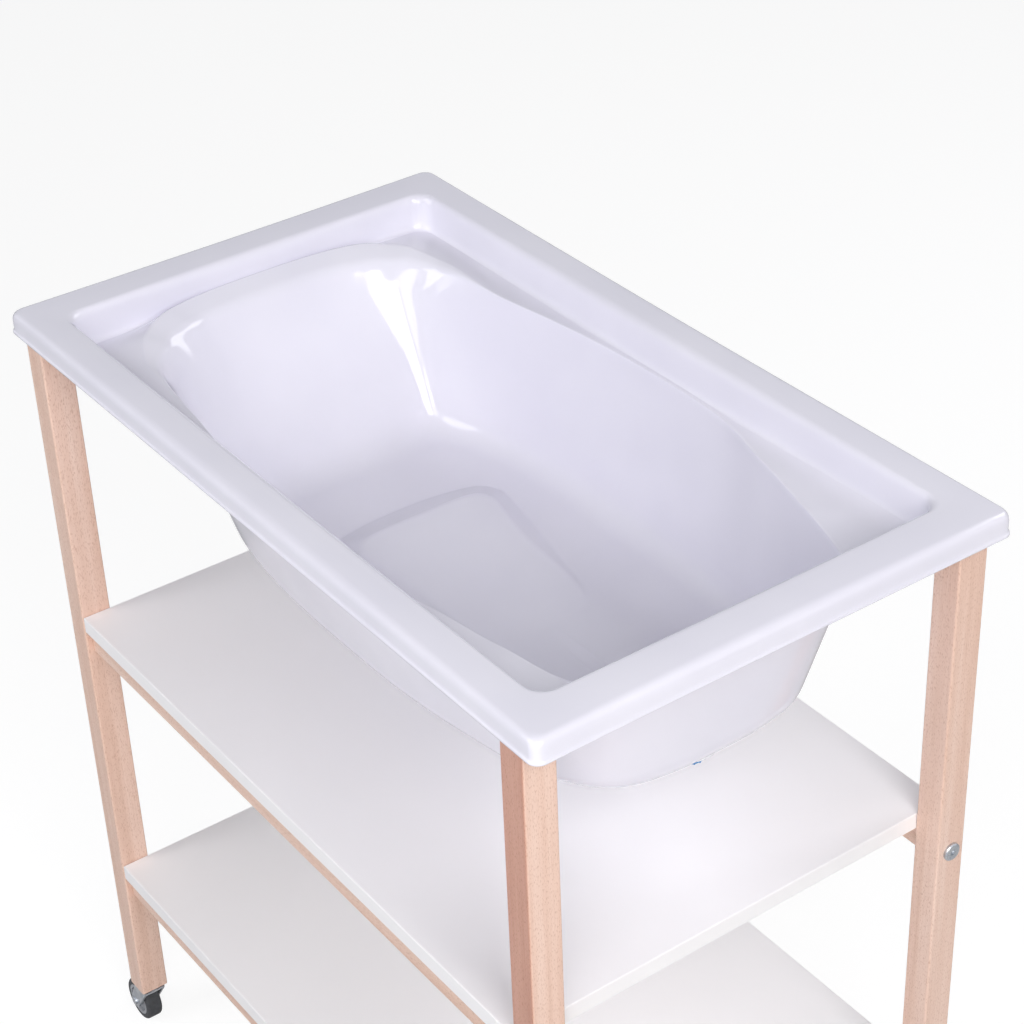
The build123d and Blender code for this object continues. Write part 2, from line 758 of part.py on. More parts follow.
def make_pedal(name, sx, sy):
    """A brake pedal: a barrel on the fork's pin, a pad to step on and a nose that turns onto the tyre."""
    side = caster_side(sx, sy)
    pin = pedal_pin_place()
    half_wide = cheek_inside - pedal_side_gap
    nose_reach = pedal_barrel_radius + pedal_wheel_gap - pedal_nose_gap
    with BuildPart() as pedal:
        with BuildSketch(side):
            with Locations(pin):
                Circle(pedal_barrel_radius)
            with BuildLine():
                Polyline(
                    (pin[0], pin[1] + pedal_barrel_radius),
                    (pin[0] + pedal_long, pin[1] + pedal_barrel_radius - pedal_drop),
                    (pin[0] + pedal_long, pin[1] + pedal_barrel_radius - pedal_drop - pedal_sheet),
                    (pin[0], pin[1] + pedal_barrel_radius - pedal_sheet),
                    close=True,
                )
            make_face()
        extrude(amount=half_wide, both=True)
        tip = pedal.faces().sort_by(Axis(origin=(0, 0, 0), direction=(sx, 0, 0)))[-1]
        fillet(tip.edges().filter_by(Axis.Z), pedal_edge)
        with BuildSketch(side):
            with Locations(Location((*pin, 0), (0, 0, pedal_nose_angle))):
                Rectangle(nose_reach, pedal_sheet, align=(Align.MIN, Align.CENTER))
        extrude(amount=half_wide / 2, both=True)
        with BuildSketch(side):
            with Locations(pin):
                Circle(pedal_pin_radius + axle_clear)
        extrude(amount=half_wide, both=True, mode=Mode.SUBTRACT)
    save(pedal.part, name + "_brake_pedal")


os.makedirs("parts", exist_ok=True)
save(bathtub.part, "bathtub")
save(drain_body.part, "drain_body")
save(drain_seal.part, "drain_seal")
save(drain_nut.part, "drain_nut")
save(drain_cap.part, "drain_cap")
save(drain_stopper.part, "drain_stopper")
for corner, (sx, sy) in post_corners.items():
    make_post(corner, sx, sy)
for side, sy in sides.items():
    for rail, (top, high) in rail_levels.items():
        make_long_rail(f"{side}_{rail}_rail", sy, top, high, rail in shelf_tops)
for end, sx in ends.items():
    make_end_rail(end + "_top_rail", sx)
for shelf, top in shelf_tops.items():
    make_shelf(shelf, top)
make_bolts()
make_barrel_nuts()
make_dowels()
make_screws()
make_stems()
for corner, (sx, sy) in post_corners.items():
    make_fork(corner, sx, sy, corner in braked_casters)
    make_axle(corner, sx, sy)
    make_wheel(corner, sx, sy)
for corner in braked_casters:
    make_pedal(corner, *post_corners[corner])
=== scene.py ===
import bpy
import math
from mathutils import Matrix, Vector


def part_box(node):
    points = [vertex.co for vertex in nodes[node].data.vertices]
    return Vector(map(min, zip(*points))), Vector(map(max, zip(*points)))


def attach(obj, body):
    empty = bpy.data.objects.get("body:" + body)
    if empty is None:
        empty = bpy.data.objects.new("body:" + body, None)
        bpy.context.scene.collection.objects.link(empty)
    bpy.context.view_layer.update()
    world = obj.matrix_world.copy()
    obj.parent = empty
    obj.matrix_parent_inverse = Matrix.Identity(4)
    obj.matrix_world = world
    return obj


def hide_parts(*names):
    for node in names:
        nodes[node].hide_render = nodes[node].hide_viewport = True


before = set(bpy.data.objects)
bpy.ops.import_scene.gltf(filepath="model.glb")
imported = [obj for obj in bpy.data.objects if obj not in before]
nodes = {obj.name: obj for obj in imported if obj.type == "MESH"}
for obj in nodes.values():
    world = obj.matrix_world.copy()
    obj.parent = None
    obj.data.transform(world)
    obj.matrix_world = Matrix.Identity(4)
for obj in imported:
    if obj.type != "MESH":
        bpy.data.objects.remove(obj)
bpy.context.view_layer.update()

MM = 0.001


# Camera

camera_place = Vector((1.478, -0.985, 1.923))
camera_right = Vector((0.58741, 0.80851, -0.03557))
camera_down = Vector((0.42575, -0.34611, -0.83603))
lens_mm = 86.69
sensor_mm = 36.0


def make_camera():
    """The photograph's viewpoint: from the foot end, the front side and above."""
    data = bpy.data.cameras.new("camera")
    data.lens = lens_mm
    data.sensor_width = sensor_mm
    data.clip_end = 50
    camera = bpy.data.objects.new("camera", data)
    bpy.context.scene.collection.objects.link(camera)
    up = -camera_down
    back = camera_right.cross(up)
    turn = Matrix((camera_right, up, back)).transposed()
    camera.matrix_world = Matrix.Translation(camera_place) @ turn.to_4x4()
    bpy.context.scene.camera = camera


make_camera()


# Materials


def tone(red, green, blue):
    """A colour as it looks on screen, 0 to 255, for a shader."""
    def linear(value):
        value = value / 255
        return value / 12.92 if value <= 0.04045 else ((value + 0.055) / 1.055) ** 2.4
    return (linear(red), linear(green), linear(blue), 1.0)


class Shader:
    """A node material, with short ways to add what its colour, roughness and bump need."""

    def __init__(self, name, roughness=0.5, metallic=0.0, coat=0.0):
        self.material = bpy.data.materials.new(name)
        self.material.use_nodes = True
        self.tree = self.material.node_tree
        self.surface = self.tree.nodes["Principled BSDF"]
        self.surface.inputs["Roughness"].default_value = roughness
        self.surface.inputs["Metallic"].default_value = metallic
        self.surface.inputs["Coat Weight"].default_value = coat
        self.place = self.node("ShaderNodeTexCoord").outputs["Object"]

    def node(self, kind):
        return self.tree.nodes.new(kind)

    def link(self, source, target):
        self.tree.links.new(source, target)

    def scaled(self, scale, turn=(0, 0, 0)):
        """Object coordinates, stretched by a scale along each axis."""
        mapping = self.node("ShaderNodeMapping")
        mapping.inputs["Scale"].default_value = scale
        mapping.inputs["Rotation"].default_value = turn
        self.link(self.place, mapping.inputs["Vector"])
        return mapping.outputs["Vector"]

    def noise(self, vector, scale=1.0, detail=3.0, roughness=0.5, distortion=0.0):
        noise = self.node("ShaderNodeTexNoise")
        noise.inputs["Scale"].default_value = scale
        noise.inputs["Detail"].default_value = detail
        noise.inputs["Roughness"].default_value = roughness
        noise.inputs["Distortion"].default_value = distortion
        self.link(vector, noise.inputs["Vector"])
        return noise.outputs["Fac"]

    def ramp(self, factor, *stops):
        """A colour ramp from (position, colour) stops."""
        ramp = self.node("ShaderNodeValToRGB")
        points = ramp.color_ramp.elements
        while len(points) < len(stops):
            points.new(0.5)
        for point, (position, colour) in zip(points, stops):
            point.position = position
            point.color = colour
        self.link(factor, ramp.inputs["Fac"])
        return ramp.outputs["Color"]

    def band(self, factor, low, high, to_low=0.0, to_high=1.0):
        """A number, stretched from one range to another and clamped."""
        band = self.node("ShaderNodeMapRange")
        band.inputs["From Min"].default_value = low
        band.inputs["From Max"].default_value = high
        band.inputs["To Min"].default_value = to_low
        band.inputs["To Max"].default_value = to_high
        self.link(factor, band.inputs["Value"])
        return band.outputs["Result"]

    def feed(self, value, socket):
        """Links an output to a socket, or sets the socket to a plain value."""
        if isinstance(value, bpy.types.NodeSocket):
            self.link(value, socket)
        else:
            socket.default_value = value

    def mix(self, factor, first, second, blend="MIX"):
        """Two colours mixed by a factor. Each may be an output or a plain value."""
        mix = self.node("ShaderNodeMix")
        mix.data_type = "RGBA"
        mix.blend_type = blend
        self.feed(factor, mix.inputs[0])
        self.feed(first, mix.inputs[6])
        self.feed(second, mix.inputs[7])
        return mix.outputs[2]

    def math(self, operation, first, second):
        """Two numbers joined by one operation."""
        joined = self.node("ShaderNodeMath")
        joined.operation = operation
        self.feed(first, joined.inputs[0])
        self.feed(second, joined.inputs[1])
        return joined.outputs[0]

    def colour(self, output):
        self.link(output, self.surface.inputs["Base Color"])

    def rough(self, output):
        self.link(output, self.surface.inputs["Roughness"])

    def bump(self, height, depth, strength=1.0):
        bump = self.node("ShaderNodeBump")
        bump.inputs["Strength"].default_value = strength
        bump.inputs["Distance"].default_value = depth
        self.link(height, bump.inputs["Height"])
        self.link(bump.outputs["Normal"], self.surface.inputs["Normal"])


def beech(name, along, turn=0.0, front_shade=0.0):
    """Lacquered beech with its grain along one axis: soft bands, fine fibres and short dark
    flecks. turn gives other bands, and the last argument darkens and reddens the front face by
    its normal: painted shade for the weak light that reaches the front."""
    shader = Shader(name, coat=0.15)
    shader.surface.inputs["Coat Roughness"].default_value = 0.3
    long_way = Vector([1.0 if axis == along else 0.0 for axis in range(3)])
    cross = Vector((1, 1, 1)) - long_way
    band_place = shader.scaled(cross * 70 + long_way * 2.2, (turn, turn, turn))
    bands = shader.noise(band_place, detail=2.0, distortion=0.4)
    fibres = shader.noise(shader.scaled(cross * 900 + long_way * 14), roughness=0.6)
    flecks = shader.noise(shader.scaled(cross * 1300 + long_way * 330), detail=1.0, roughness=0.4)
    fleck_share = shader.band(flecks, 0.57, 0.68)
    wood = shader.ramp(
        bands, (0.3, tone(228, 191, 171)), (0.5, tone(238, 204, 186)), (0.7, tone(244, 214, 198)))
    fibre_share = shader.band(fibres, 0.35, 0.75, 0.0, 0.3)
    wood = shader.mix(fibre_share, wood, tone(214, 170, 147))
    wood = shader.mix(shader.math("MULTIPLY", fleck_share, 0.42), wood, tone(186, 132, 100))
    # Painted shade: the face turned to the front is darkened and reddened by its normal
    if front_shade:
        sides = shader.node("ShaderNodeSeparateXYZ")
        shader.link(shader.node("ShaderNodeTexCoord").outputs["Normal"], sides.inputs[0])
        front = shader.band(sides.outputs["Y"], -0.5, -0.9, 0.0, front_shade)
        wood = shader.mix(front, wood, tone(196, 140, 120), "MULTIPLY")
    shader.colour(wood)
    shader.rough(shader.band(fibres, 0.3, 0.8, 0.36, 0.52))
    shader.bump(shader.math("SUBTRACT", fibres, fleck_share), 0.12 * MM, 0.5)
    return shader.material


def moulded(name, colour, shade, roughness, ripple=0.35 * MM):
    """Moulded plastic: a faint cloudiness, a slow ripple in the gloss and a fine orange peel."""
    shader = Shader(name, roughness)
    cloud = shader.noise(shader.place, 9.0, 2.0)
    shader.colour(shader.ramp(cloud, (0.35, tone(*shade)), (0.65, tone(*colour))))
    scuffs = shader.noise(shader.place, 60.0, 4.0, 0.6)
    shader.rough(shader.band(scuffs, 0.3, 0.75, roughness * 0.85, roughness * 1.35))
    slow = shader.noise(shader.place, 14.0, 1.0)
    peel = shader.noise(shader.place, 700.0, 1.0)
    shader.bump(shader.math("ADD", slow, shader.math("MULTIPLY", peel, 0.03)), ripple)
    return shader.material


def faced_board(name):
    """White faced board: satin, with a faint cloudiness and a fine press texture."""
    shader = Shader(name, 0.42)
    cloud = shader.noise(shader.place, 5.0, 3.0)
    shader.colour(shader.ramp(cloud, (0.3, tone(248, 246, 247)), (0.7, tone(252, 250, 251))))
    grain = shader.noise(shader.scaled((160, 900, 900)), 1.0, 3.0, 0.6)
    shader.rough(shader.band(grain, 0.3, 0.7, 0.36, 0.5))
    shader.bump(grain, 0.04 * MM, 0.6)
    return shader.material


def zinc(name, roughness=0.28):
    """Bright zinc plating: pale, with fine brushing and a slightly blue cloud."""
    shader = Shader(name, roughness, metallic=1.0)
    cloud = shader.noise(shader.place, 120.0, 3.0)
    shader.colour(shader.ramp(cloud, (0.3, tone(176, 182, 190)), (0.7, tone(206, 208, 210))))
    brushing = shader.noise(shader.scaled((900, 900, 5200)), 1.0, 2.0)
    shader.rough(shader.band(brushing, 0.3, 0.7, roughness * 0.7, roughness * 1.4))
    shader.bump(brushing, 0.03 * MM, 0.5)
    return shader.material


def rubber(name, colour, shade):
    """Matt rubber with a fine grain and a little dust on it."""
    shader = Shader(name, 0.7)
    dust = shader.noise(shader.place, 220.0, 4.0, 0.6)
    shader.colour(shader.ramp(dust, (0.35, tone(*shade)), (0.7, tone(*colour))))
    grain = shader.noise(shader.place, 2600.0, 2.0)
    shader.rough(shader.band(dust, 0.3, 0.7, 0.6, 0.82))
    shader.bump(grain, 0.05 * MM, 0.6)
    return shader.material


bath_white = moulded("bath_white", (236, 234, 244), (232, 230, 241), 0.07, 0.22 * MM)
beech_upright = beech("beech_upright", 2)
# The front post's front face carries painted shade
beech_front_shaded = beech("beech_front_shaded", 2, turn=3.1, front_shade=0.6)
beech_lengthwise = beech("beech_lengthwise", 0)
beech_crosswise = beech("beech_crosswise", 1)
board_white = faced_board("board_white")
zinc_bright = zinc("zinc_bright")
zinc_sheet = zinc("zinc_sheet", 0.34)
drain_white = moulded("drain_white", (238, 238, 241), (232, 232, 236), 0.22)
cap_blue = moulded("cap_blue", (38, 128, 190), (30, 112, 176), 0.3)
hub_grey = moulded("hub_grey", (168, 170, 174), (158, 160, 165), 0.38)
pedal_grey = moulded("pedal_grey", (92, 94, 98), (82, 84, 88), 0.42)
seal_black = rubber("seal_black", (86, 87, 90), (66, 67, 70))
stopper_white = rubber("stopper_white", (226, 227, 231), (212, 213, 218))
tyre_grey = rubber("tyre_grey", (74, 75, 78), (56, 57, 60))


def finish_node(node, material):
    """A CAD node keeps its shape and takes a material."""
    slots = nodes[node].data.materials
    slots.clear()
    slots.append(material)


# The end of a node's name with its material. The first that fits counts.
node_finishes = [
    ("foot_front_post", beech_front_shaded),
    ("_post", beech_upright),
    ("head_top_rail", beech_crosswise),
    ("foot_top_rail", beech_crosswise),
    ("_rail", beech_lengthwise),
    ("_shelf", board_white),
    ("connector_bolts", zinc_bright),
    ("barrel_nuts", zinc_bright),
    ("shelf_screws", zinc_bright),
    ("caster_stems", zinc_sheet),
    ("_caster_fork", zinc_sheet),
    ("_caster_axle", zinc_bright),
    ("_caster_hub", hub_grey),
    ("_caster_tyre", tyre_grey),
    ("_brake_pedal", pedal_grey),
    ("rail_dowels", beech_lengthwise),
    ("drain_body", drain_white),
    ("drain_nut", drain_white),
    ("drain_cap", cap_blue),
    ("drain_seal", seal_black),
    ("drain_stopper", stopper_white),
    ("bathtub", bath_white),
]
for node in nodes:
    for ending, material in node_finishes:
        if node.endswith(ending):
            finish_node(node, material)
            break
    else:
        raise ValueError(node)


# Bathtub

tub_low, tub_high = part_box("bathtub")
rim_top = tub_high[2] / MM
lip_length = (tub_high[0] - tub_low[0]) / MM
lip_width = (tub_high[1] - tub_low[1]) / MM
skin = 2.4
lip_proud = 1.4
lip_high = 3.2
lip_slant = 0.9
skirt_high = 21.0
skirt_corner = 9.0
border_x = 44.0
border_y = 35.0
rim_bow = 0.7
well_corner = 20.0
well_draft = 4.5
bowl_depth = 175.0
bowl_half_length = 347.0
bowl_half_width = 185.0
floor_half_length = 275.5
floor_half_width = 149.0
floor_shift = 50.0
drain_x = 286.5
drain_hole = 12.65
drain_cut_reach = 12.0

straight_steps_x = 96
straight_steps_y = 72
corner_steps = 12
smooth_steps = 24
drain_hole_steps = 96

# Bowl outlines on the back half, from the head to the foot: the edge as shares of the half sizes,
# with its drop below the rim at each point, then a level part of the way down and the floor's
# edge. The backrest is flat there, and turns into the corners with a tight fold.
bowl_top_shares = (
    (-1, 0), (-0.995, 0.3), (-0.975, 0.55), (-0.91, 0.745), (-0.78, 0.855), (-0.55, 0.89),
    (-0.27, 0.965), (0, 1), (0.3, 0.99), (0.52, 0.9), (0.71, 0.82), (0.88, 0.735),
    (0.965, 0.64), (0.995, 0.42), (1, 0),
)
edge_drops = (17, 17, 18, 22, 29, 34, 34, 34, 34, 36, 40, 44, 44, 40, 38)
middle_share = 0.16
middle_outline = (
    (-309, 0), (-309, 38), (-308.5, 62), (-306, 76), (-298, 95), (-287, 116), (-271, 134),
    (-246, 148), (-186, 160.5), (-92, 174.5), (2, 181), (105, 179), (180, 162),
    (244.6, 147.8), (302, 131.4), (331.7, 112), (341.6, 72), (343.6, 0),
)
middle_fold = (-306, 76)
floor_outline = (
    (-226, 0), (-226, 50), (-226, 90), (-223.5, 109), (-205, 122), (-163, 136),
    (-110, 144.5), (-40, 149), (65, 148.5), (125, 145), (180, 138), (238, 127.5),
    (287, 107), (314.5, 79), (324, 41.7), (325.5, 0),
)
floor_fold = (-223.5, 109)
wedge_outline = (
    (-131, 0), (-129, 40), (-120, 78), (-104, 92), (-80, 92), (10, 73), (78, 57), (95, 40),
    (100, 0),
)
wedge_centre = -15.0
wedge_head_x = -131.0
wedge_foot_x = 100.0
wedge_high = 18.0
wedge_least = 0.15
wedge_fall = 1.15
wedge_slope = 1.9

# Ranges of degrees round the bowl, 0 at the foot end and 180 at the head
head_turns = (122, 152)
foot_turns = (20, 58)
head_valley_turns = (152, 174)
ledge_turns = (20, 70)
ledge_start = 10
ledge_end = 30
fold_start = 85
fold_spoke = 150

# Drops of the well's foot below the rim: along the sides, less behind the head ridge and on the
# corner ledges, most at the foot end
side_valley = 34.0
head_valley_rise = 9.0
ledge_rise = 5.0
foot_valley = 36.0

# The soft shoulder inside the head ridge, which narrows to a plain edge along the sides
shoulder_wide = 24.0
shoulder_narrow = 1.2
shoulder_slope = 0.36

# How far each edge's rounding reaches, with what the head and the foot add to it
floor_round = 24.0
floor_round_head = 2.0
under_round = 14.0
under_round_head = 14.0
under_round_foot = 15.0
shoulder_round_below = 5.0
shoulder_round_above = 3.0
shoulder_round_head = 5.0
rounding_limit = 0.48


def both_halves(points):
    """A closed outline from its back half, mirrored to the front."""
    return list(points) + [(x, -y) for x, y in reversed(points[1:-1])]


def smooth_closed(points):
    """A closed smooth line through points."""
    count = len(points)
    line = []
    for i in range(count):
        a, b, c, d = (Vector(points[(i + k) % count]) for k in (-1, 0, 1, 2))
        for step in range(smooth_steps):
            t = step / smooth_steps
            line.append(0.5 * (2 * b + (c - a) * t + (2 * a - 5 * b + 4 * c - d) * t ** 2
                               + (3 * b - a - 3 * c + d) * t ** 3))
    return line


def reach_table(line):
    """Angle and distance from the middle of every point of a closed line, sorted by angle."""
    return sorted((math.atan2(p.y, p.x), math.hypot(p.x, p.y)) for p in line)


def reach(table, angle):
    """The distance from the middle to a closed line at an angle."""
    low, high = 0, len(table) - 1
    if angle <= table[0][0] or angle >= table[-1][0]:
        return table[0][1]
    while high - low > 1:
        middle = (low + high) // 2
        if table[middle][0] <= angle:
            low = middle
        else:
            high = middle
    (a, ra), (b, rb) = table[low], table[high]
    return ra + (rb - ra) * (angle - a) / (b - a)


def bowl_line(outline, half_x, half_y, shift=0.0):
    """An outline round the bowl: a table of its reach as shares of the half sizes, the half sizes
    and how far its middle is shifted."""
    points = smooth_closed(both_halves(outline))
    shares = [Vector(((p.x - shift) / half_x, p.y / half_y)) for p in points]
    return reach_table(shares), half_x, half_y, shift


edge_table = reach_table(smooth_closed(both_halves(bowl_top_shares)))
edge_line = (edge_table, bowl_half_length, bowl_half_width, 0.0)
middle_line = bowl_line(middle_outline, bowl_half_length, bowl_half_width)
floor_line = bowl_line(floor_outline, floor_half_length, floor_half_width, floor_shift)
wedge_table = reach_table([p - Vector((wedge_centre, 0))
                           for p in smooth_closed(both_halves(wedge_outline))])


def rounded_rectangle(half_x, half_y, radius):
    """Points of a rounded rectangle, always as many and in the same order."""
    points = []
    sides = (
        ((half_x, -half_y + radius), (half_x, half_y - radius), straight_steps_y, 0.0),
        ((half_x - radius, half_y), (-half_x + radius, half_y), straight_steps_x, 90.0),
        ((-half_x, half_y - radius), (-half_x, -half_y + radius), straight_steps_y, 180.0),
        ((-half_x + radius, -half_y), (half_x - radius, -half_y), straight_steps_x, 270.0),
    )
    for start, end, steps, turned in sides:
        for step in range(steps):
            t = step / steps
            points.append((start[0] + (end[0] - start[0]) * t, start[1] + (end[1] - start[1]) * t))
        angle = math.radians(turned)
        out = Vector((math.cos(angle), math.sin(angle)))
        centre = Vector(end) - out * radius
        for step in range(corner_steps):
            turn = angle + math.radians(90) * step / corner_steps
            points.append((centre.x + radius * math.cos(turn), centre.y + radius * math.sin(turn)))
    return points


def for_each(value, count):
    """A list as it is, or one value as many times as needed."""
    return value if isinstance(value, list) else [value] * count


def ring(points, level):
    """A ring of points in the frame, at one level or at a level each."""
    return [Vector((x, y, z)) for (x, y), z in zip(points, for_each(level, len(points)))]


def lowered(line, amount):
    """A ring moved down."""
    return [Vector((p.x, p.y, p.z - amount)) for p in line]


def bowed(points, half_x, half_y):
    """The rim's long lines bow inwards a little between the corners, as a thin moulding does."""
    bent = []
    for x, y in points:
        bow_y = rim_bow * (1 - min(1.0, (x / half_x) ** 2))
        bow_x = rim_bow * (1 - min(1.0, (y / half_y) ** 2))
        bent.append((x - math.copysign(bow_x, x) * (abs(x) / half_x) ** 4,
                     y - math.copysign(bow_y, y) * (abs(y) / half_y) ** 4))
    return bent


def eased(value, low, high):
    """0 below a range, 1 above it and a smooth rise between."""
    t = min(1.0, max(0.0, (value - low) / (high - low)))
    return t * t * (3 - 2 * t)


def edge_drop(angle):
    """How far the bowl's edge lies below the rim, at an angle round the bowl."""
    angle = abs(angle)
    shares = [(math.atan2(y, x), drop)
              for (x, y), drop in zip(bowl_top_shares, edge_drops)][::-1]
    for (a, drop_a), (b, drop_b) in zip(shares, shares[1:]):
        if a <= angle <= b:
            return drop_a + (drop_b - drop_a) * eased(angle, a, b)
    return shares[-1][1]


def valley_drop(angle):
    """How far the foot of the well's wall lies below the rim, at an angle round the bowl."""
    turned = abs(math.degrees(angle))
    ledge_low, ledge_high = ledge_turns
    if turned > ledge_high:
        return side_valley - head_valley_rise * eased(turned, *head_valley_turns)
    if turned > ledge_low:
        share = min(1.0, (ledge_high - turned) / ledge_end, (turned - ledge_low) / ledge_start)
        return side_valley - ledge_rise * share
    return foot_valley


def wedge_height(x):
    """The wedge's top above the floor: high at the head edge, level with the floor at the foot."""
    t = min(1.0, max(0.0, (x - wedge_head_x) / (wedge_foot_x - wedge_head_x)))
    return wedge_high * (1 - t) ** wedge_fall


def turned_angles(angles, fold, line):
    """The spokes' angles, eased round so that the spoke at the fold passes through it."""
    _, half_x, half_y, shift = line
    fold_angle = math.degrees(math.atan2(fold[1] / half_y, (fold[0] - shift) / half_x))
    turned = []
    for angle in angles:
        off = abs(math.degrees(angle))
        ease = eased(off, fold_start, fold_spoke) * (1 - eased(off, fold_spoke, 180))
        turned.append(angle + math.copysign(math.radians((fold_angle - fold_spoke) * ease), angle))
    return turned


def line_points(line, angles, grow):
    """Points of a bowl line at the spokes' angles, grown by an amount for all or for each."""
    table, half_x, half_y, shift = line
    points = []
    for angle, wider in zip(angles, for_each(grow, len(angles))):
        far = reach(table, angle)
        points.append((shift + (half_x + wider) * far * math.cos(angle),
                       (half_y + wider) * far * math.sin(angle)))
    return points


def rounded_profile(keys):
    """Rings that follow the keys, with each key's corner rounded. A key is a ring, how far the
    rounding reaches before it and after it, and its steps. With no steps it stays sharp."""
    rings = [keys[0][0]]
    count = len(keys[0][0])
    for index in range(1, len(keys) - 1):
        line, before, after, steps = keys[index]
        if steps == 0:
            rings.append(line)
            continue
        earlier, later = keys[index - 1][0], keys[index + 1][0]
        corner = [[] for _ in range(steps + 1)]
        befores, afters = for_each(before, count), for_each(after, count)
        for i in range(count):
            p = line[i]
            back, on = earlier[i] - p, later[i] - p
            start = p + back * min(rounding_limit, befores[i] / max(back.length, 1e-6))
            end = p + on * min(rounding_limit, afters[i] / max(on.length, 1e-6))
            for step in range(steps + 1):
                t = step / steps
                corner[step].append(start * (1 - t) ** 2 + p * 2 * t * (1 - t) + end * t ** 2)
        rings.extend(corner)
    rings.append(keys[-1][0])
    return rings


def bathtub_rings():
    """The bathtub's rings, from the floor's middle out to the lip, and back underneath."""
    half_x, half_y = lip_length / 2, lip_width / 2
    skirt_x, skirt_y = half_x - lip_proud, half_y - lip_proud
    well_x, well_y = skirt_x - border_x, skirt_y - border_y
    foot_x, foot_y = well_x - well_draft, well_y - well_draft
    base = rim_top - skirt_high
    lip_top = base + lip_high
    floor = rim_top - bowl_depth

    well_top = rounded_rectangle(well_x, well_y, well_corner)
    angles = [math.atan2(y / well_y, x / well_x) for x, y in well_top]
    degrees = [abs(math.degrees(angle)) for angle in angles]
    heads = [eased(turned, *head_turns) for turned in degrees]
    foots = [1 - eased(turned, *foot_turns) for turned in degrees]
    middle_angles = turned_angles(angles, middle_fold, middle_line)
    floor_angles = turned_angles(angles, floor_fold, floor_line)

    drops = [edge_drop(angle) for angle in angles]
    valleys = [valley_drop(angle) for angle in angles]
    shoulders = [shoulder_narrow + (shoulder_wide - shoulder_narrow) * head for head in heads]
    shoulder_drops = [drop + shoulder_slope * wide for drop, wide in zip(drops, shoulders)]
    middle_drops = [drop + (bowl_depth - drop) * middle_share for drop in shoulder_drops]

    def below_rim(falls, lower=0.0):
        return [rim_top - fall - lower for fall in falls]

    def edge_ring(grow, levels):
        return ring(line_points(edge_line, angles, grow), levels)

    def middle_ring(grow, lower):
        return ring(line_points(middle_line, middle_angles, grow), below_rim(middle_drops, lower))

    def floor_ring(grow, level):
        return ring(line_points(floor_line, floor_angles, grow), level)

    def rim_ring(x, y, radius, level):
        return ring(bowed(rounded_rectangle(x, y, radius), half_x, half_y), level)

    floor_edge = floor_ring(0, floor)

    def wedge_ring(inset, raised):
        """A ring round the wedge: where it meets the floor, or raised to the edge of its top."""
        points = []
        for p in floor_edge:
            angle = math.atan2(p.y, p.x - wedge_centre)
            far = reach(wedge_table, angle)
            outer_high = wedge_height(wedge_centre + far * math.cos(angle)) if raised else 0.0
            far = max(0.0, far - (inset + wedge_slope * outer_high))
            x = wedge_centre + far * math.cos(angle)
            high = max(wedge_least, wedge_height(x)) if raised else 0.0
            points.append(Vector((x, far * math.sin(angle), floor + high)))
        return points

    centre = [Vector((wedge_centre, 0, floor + wedge_height(wedge_centre)))] * len(angles)
    wedge_top = wedge_ring(3.0, True)
    inner_round = [floor_round + floor_round_head * head for head in heads]
    outer_round = [under_round + under_round_head * head + under_round_foot * foot
                   for head, foot in zip(heads, foots)]
    shoulder_before = [shoulder_round_below + shoulder_round_head * head for head in heads]
    shoulder_after = [shoulder_round_above + shoulder_round_head * head for head in heads]
    well_foot = rounded_rectangle(foot_x, foot_y, well_corner - well_draft / 2)
    well_foot_out = rounded_rectangle(foot_x + skin, foot_y + skin, well_corner)
    well_top_out = rounded_rectangle(well_x + skin, well_y + skin, well_corner + skin)
    inside_x, inside_y, inside_corner = skirt_x - skin, skirt_y - skin, skirt_corner - skin
    lip_corner = skirt_corner + lip_proud

    return rounded_profile([
        (centre, 0, 0, 0),
        ([(a * 2 + b) / 3 for a, b in zip(centre, wedge_top)], 0, 0, 0),
        ([(a + b * 2) / 3 for a, b in zip(centre, wedge_top)], 0, 0, 0),
        (wedge_top, 4, 4, 5),
        (wedge_ring(-1.0, False), 3, 3, 4),
        (floor_edge, inner_round, inner_round, 12),
        (middle_ring(0, 0), 0, 0, 0),
        (edge_ring([-wide for wide in shoulders], below_rim(shoulder_drops)),
         shoulder_before, shoulder_after, 6),
        (edge_ring(0, below_rim(drops)), 2.2, 2.2, 5),
        (ring(well_foot, below_rim(valleys)), 5, 11, 7),
        (rim_ring(well_x, well_y, well_corner, rim_top), 9, 8, 8),
        (rim_ring(skirt_x, skirt_y, skirt_corner, rim_top), 10, 9, 9),
        (rim_ring(skirt_x, skirt_y, skirt_corner, lip_top), 2.4, 1.0, 3),
        (rim_ring(half_x, half_y, lip_corner, lip_top - lip_slant), 0.9, 0.9, 3),
        (rim_ring(half_x, half_y, lip_corner, base), 0.9, 0.6, 2),
        (rim_ring(inside_x, inside_y, inside_corner, base), 0.4, 0.4, 1),
        (rim_ring(inside_x, inside_y, inside_corner, rim_top - skin), 3, 3, 3),
        (ring(well_top_out, rim_top - skin), 4, 4, 3),
        (ring(well_foot_out, below_rim(valleys, skin)), 5, 5, 3),
        (edge_ring(skin, below_rim(drops, skin)), 6, 9, 5),
        (middle_ring(skin, skin * 0.6), 0, 0, 0),
        (floor_ring(skin, floor - skin), outer_round, outer_round, 10),
        (lowered(wedge_ring(1.5, False), skin), 6, 6, 3),
        (lowered(wedge_ring(5.0, True), skin), 6, 6, 3),
        (lowered(centre, skin), 0, 0, 0),
    ])


